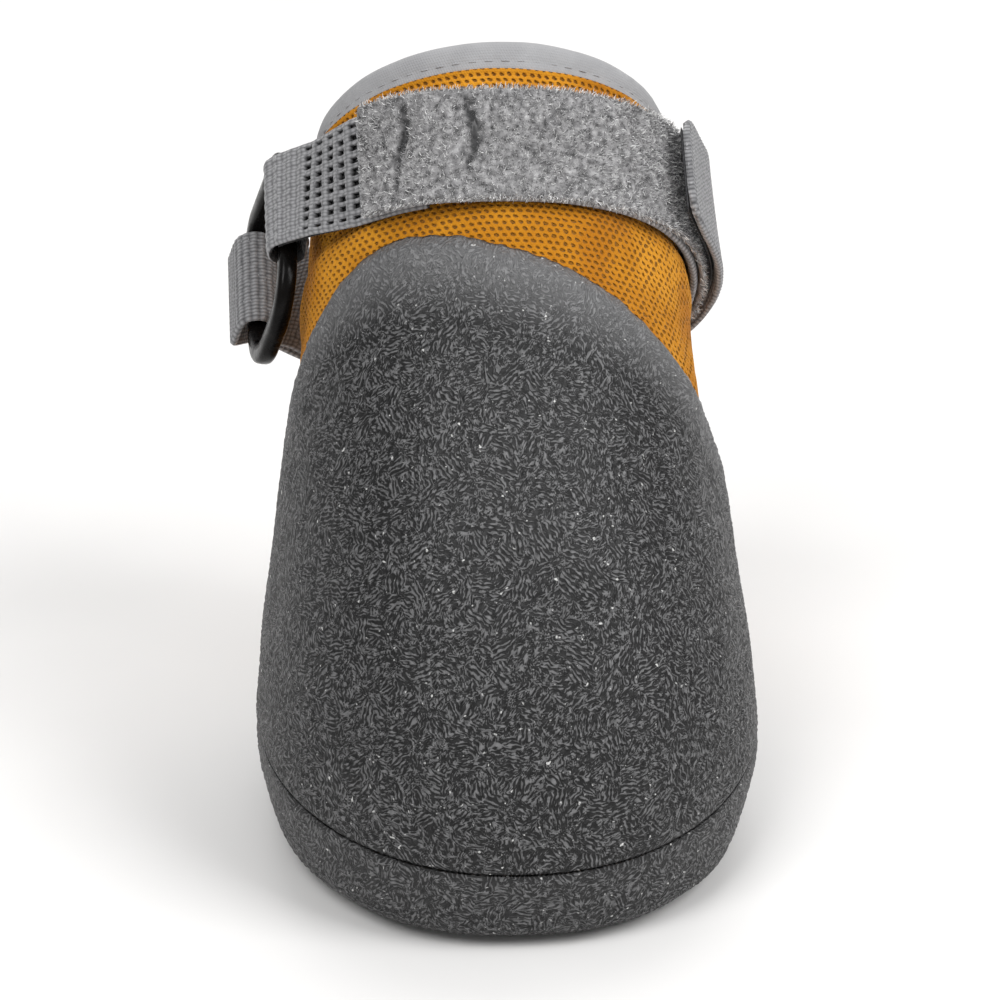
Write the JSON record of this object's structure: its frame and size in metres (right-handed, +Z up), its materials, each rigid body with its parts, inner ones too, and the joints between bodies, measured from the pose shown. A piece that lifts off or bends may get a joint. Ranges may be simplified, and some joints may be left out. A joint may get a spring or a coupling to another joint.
{
  "type": "dog boot",
  "caption": "Slip-on dog boot with a mesh upper, crinkled rubber sole and toe cap, slanted collar and a hook-and-loop strap through a ring.",
  "frame": {"origin": "on the ground under the middle of the boot's whole box", "axes": "+Z up; -Y out of the toe; -X to the side with the ring, +X to the side with the strap's free end"},
  "size_m": [0.0722, 0.1012, 0.1062],
  "materials": {
    "sole_rubber": "matte moulded rubber with a crinkled grain, the grain in charcoal grey",
    "insole_foam": "dark knit over thin foam",
    "air_mesh": "ochre air mesh with small dark holes",
    "cap_rubber": "matte moulded rubber with a crinkled grain, a little paler towards its upper edge",
    "binding": "smooth light-grey stretch binding",
    "elastic": "open-grid grey elastic webbing",
    "webbing": "grey ribbed webbing",
    "loop_pile": "fuzzy grey loop pile, salt and pepper",
    "hook_tape": "dark hook tape",
    "ring_plastic": "glossy black moulded acetal"
  },
  "bodies": {
    "root": {"sole": "sole_rubber", "insole": "insole_foam", "upper": "air_mesh", "toe_cap": "cap_rubber", "collar_binding": "binding", "strap_elastic": "elastic", "strap_long": "webbing", "loop_strip": "loop_pile", "hook_pad": "hook_tape", "ring": "ring_plastic"}
  },
  "joints": []
}
